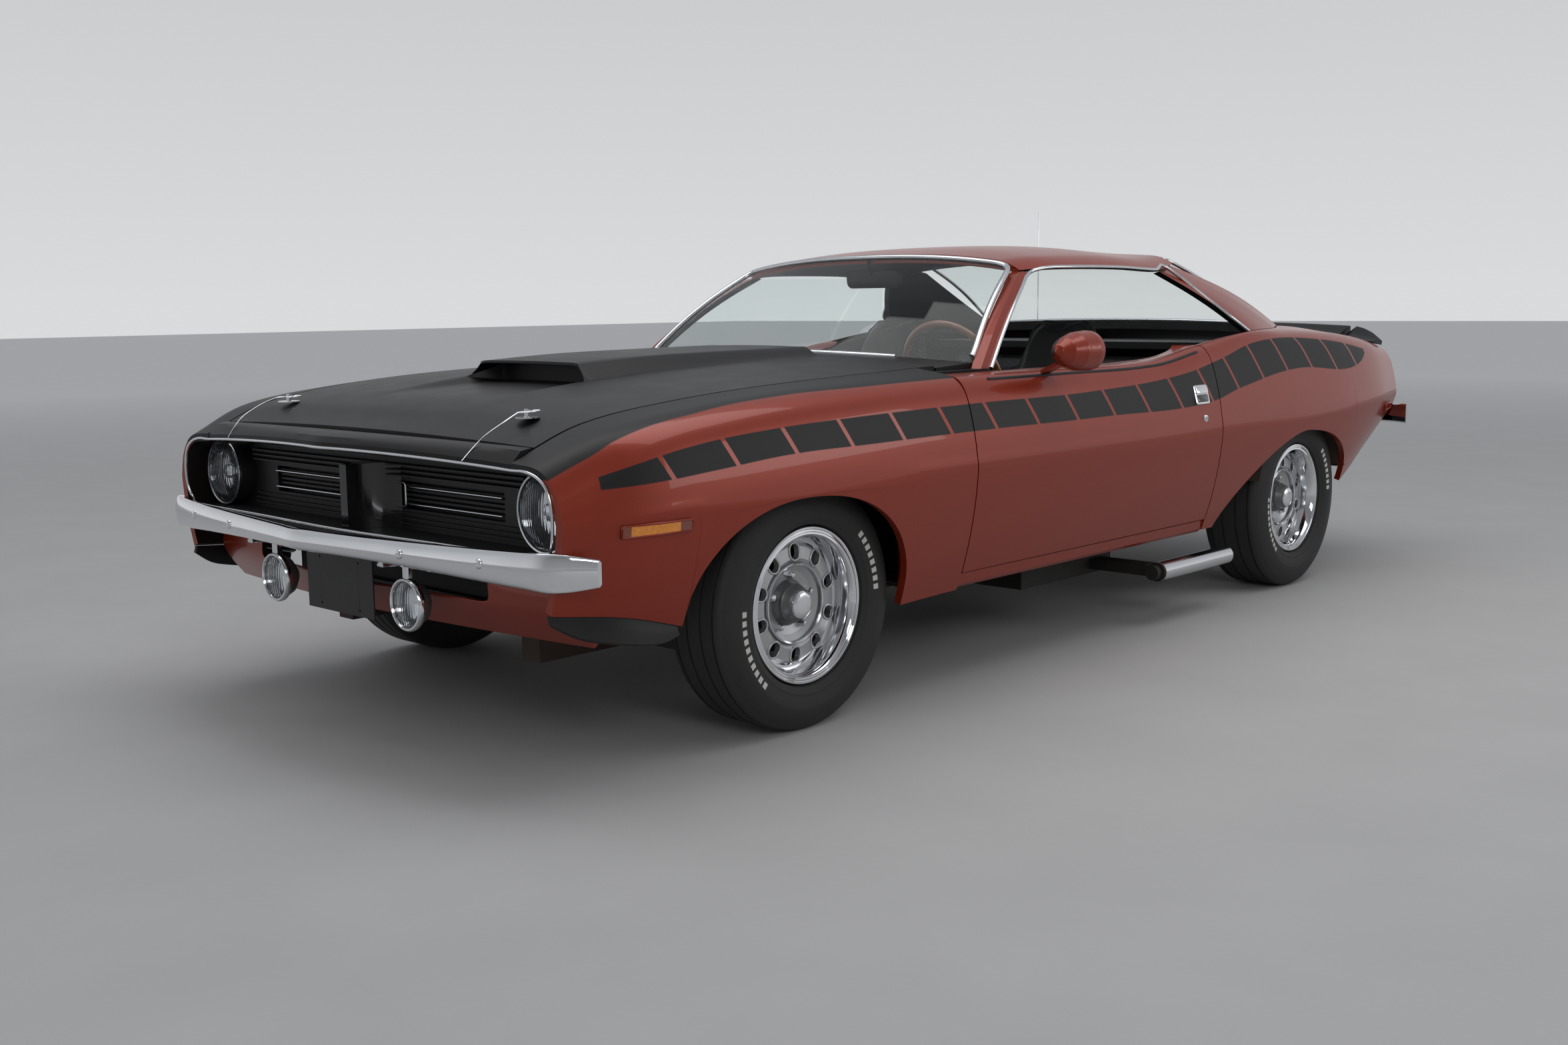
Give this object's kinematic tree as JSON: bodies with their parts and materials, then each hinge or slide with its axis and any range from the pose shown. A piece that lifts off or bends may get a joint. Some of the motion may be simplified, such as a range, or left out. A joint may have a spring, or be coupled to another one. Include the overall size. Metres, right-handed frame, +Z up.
{
  "type": "muscle car",
  "caption": "Two-door hardtop muscle car with a scooped hood, slotted wheels, swinging doors, hinged hood and trunk lid, and steered front wheels.",
  "frame": {"origin": "on the road below the middle of the car's box", "axes": "+X forward, +Y to the car's left, +Z up"},
  "size_m": [4.742, 1.9956, 1.5038],
  "materials": {
    "paint": "copper orange metallic under clear coat",
    "satin_black": "satin black paint",
    "tyre": "black rubber",
    "wheel": "silver painted pressed steel with a polished trim ring",
    "chassis": "black painted forgings and pressings",
    "engine": "painted cast iron",
    "tank_steel": "terne coated steel",
    "exhaust_steel": "bright exhaust pipe",
    "underbody": "dark sealer",
    "black_plastic": "black moulding",
    "glass": "clear window glass",
    "lamp_glass": "fluted lamp glass",
    "chrome": "bright plating",
    "marker_lens": "amber lens",
    "red_lens": "red lens",
    "wood_rim": "varnished wood",
    "vinyl": "black vinyl"
  },
  "bodies": {
    "root": {"front_suspension": "chassis", "rear_axle": "chassis", "engine": "engine", "core_support": "satin_black", "fuel_tank": "tank_steel", "exhaust": "exhaust_steel", "floor_pan": "underbody", "side_frames": "paint", "firewall": "satin_black", "aprons": "satin_black", "rear_shelf": "paint", "fender_left": "paint", "fender_right": "paint", "nose": "satin_black", "quarter_left": "paint", "quarter_right": "paint", "roof": "paint", "screen_pillars": "paint", "sail_panels": "paint", "spoiler_ends": "satin_black", "tail_panel": "satin_black", "front_valance": "paint", "chin_spoilers": "black_plastic", "windscreen": "glass", "rear_window": "glass", "quarter_glass_right": "glass", "grille": "black_plastic", "headlamps": "lamp_glass", "driving_lamps": "chrome", "front_bumper": "chrome", "number_plate": "satin_black", "side_markers": "marker_lens", "tail_lamps": "red_lens", "rear_bumper": "chrome", "dashboard": "black_plastic", "front_seats": "vinyl", "rear_seat": "vinyl", "antenna": "chrome"},
    "wheel_fl": {"tyre_front_left": "tyre", "wheel_front_left": "wheel"},
    "wheel_fr": {"tyre_front_right": "tyre", "wheel_front_right": "wheel"},
    "wheel_rl": {"tyre_rear_left": "tyre", "wheel_rear_left": "wheel"},
    "wheel_rr": {"tyre_rear_right": "tyre", "wheel_rear_right": "wheel"},
    "knuckle_l": {"knuckle_left": "chassis"},
    "knuckle_r": {"knuckle_right": "chassis"},
    "door_left": {"door_left": "paint", "mirror_left": "paint"},
    "door_right": {"door_right": "paint", "door_glass_right": "glass"},
    "hood": {"hood": "satin_black", "hood_pins": "chrome"},
    "trunk_lid": {"trunk_lid": "paint", "spoiler": "satin_black"},
    "steering_wheel": {"steering_wheel": "wood_rim"}
  },
  "joints": [
    {"name": "steer_left", "type": "hinge", "parent": "root", "child": "knuckle_l", "pos_m": [1.401, 0.65337, 0.327], "axis": [0, 0, 1], "range_deg": [-30, 30]},
    {"name": "steer_right", "type": "hinge", "parent": "root", "child": "knuckle_r", "pos_m": [1.401, -0.74663, 0.327], "axis": [0, 0, 1], "range_deg": [-30, 30]},
    {"name": "steering_wheel_turn", "type": "hinge", "parent": "root", "child": "steering_wheel", "pos_m": [0.171, 0.33837, 0.856], "axis": [-0.9135, 0, 0.4067], "range_deg": [-480, 480]},
    {"name": "spin_front_left", "type": "hinge", "parent": "knuckle_l", "child": "wheel_fl", "pos_m": [1.401, 0.71137, 0.327], "axis": [0, 1, 0], "continuous": true},
    {"name": "spin_front_right", "type": "hinge", "parent": "knuckle_r", "child": "wheel_fr", "pos_m": [1.401, -0.80463, 0.327], "axis": [0, 1, 0], "continuous": true},
    {"name": "spin_rear_left", "type": "hinge", "parent": "root", "child": "wheel_rl", "pos_m": [-1.342, 0.72437, 0.338], "axis": [0, 1, 0], "continuous": true},
    {"name": "spin_rear_right", "type": "hinge", "parent": "root", "child": "wheel_rr", "pos_m": [-1.342, -0.81763, 0.338], "axis": [0, 1, 0], "continuous": true},
    {"name": "door_left_swing", "type": "hinge", "parent": "root", "child": "door_left", "pos_m": [0.797, 0.90237, 0.6], "axis": [0, 0, -1], "range_deg": [0, 65]},
    {"name": "door_right_swing", "type": "hinge", "parent": "root", "child": "door_right", "pos_m": [0.797, -0.99563, 0.6], "axis": [0, 0, 1], "range_deg": [0, 65]},
    {"name": "hood_lift", "type": "hinge", "parent": "root", "child": "hood", "pos_m": [0.7, -0.04663, 0.968], "axis": [0, -1, 0], "range_deg": [0, 55]},
    {"name": "trunk_lid_lift", "type": "hinge", "parent": "root", "child": "trunk_lid", "pos_m": [-1.56, -0.04663, 1.008], "axis": [0, 1, 0], "range_deg": [0, 70]}
  ],
  "couplings": [
    {"joint": "steer_right", "follows": "steer_left", "ratio": 1},
    {"joint": "steering_wheel_turn", "follows": "steer_left", "ratio": 16}
  ]
}
